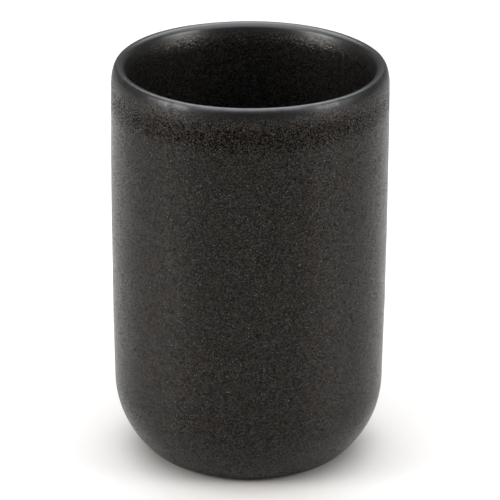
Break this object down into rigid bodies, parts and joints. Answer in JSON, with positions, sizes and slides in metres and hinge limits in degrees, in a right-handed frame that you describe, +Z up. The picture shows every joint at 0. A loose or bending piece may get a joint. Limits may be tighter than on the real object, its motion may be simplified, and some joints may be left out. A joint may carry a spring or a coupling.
{
  "type": "empty candle jar",
  "caption": "Open-topped ceramic candle jar without a lid: a tall, slightly barrelled tumbler with a rounded heel and lip, on a non-slip base pad.",
  "frame": {"origin": "centre of the base pad's underside, on the surface that the jar stands on", "axes": "+Z up along the jar's axis of revolution, towards its open mouth"},
  "size_m": [0.08, 0.08, 0.1185],
  "materials": {
    "glazed_stoneware": "satin",
    "foam_pad": "matte"
  },
  "bodies": {
    "root": {"jar_body": "glazed_stoneware", "base_pad": "foam_pad"}
  },
  "joints": []
}
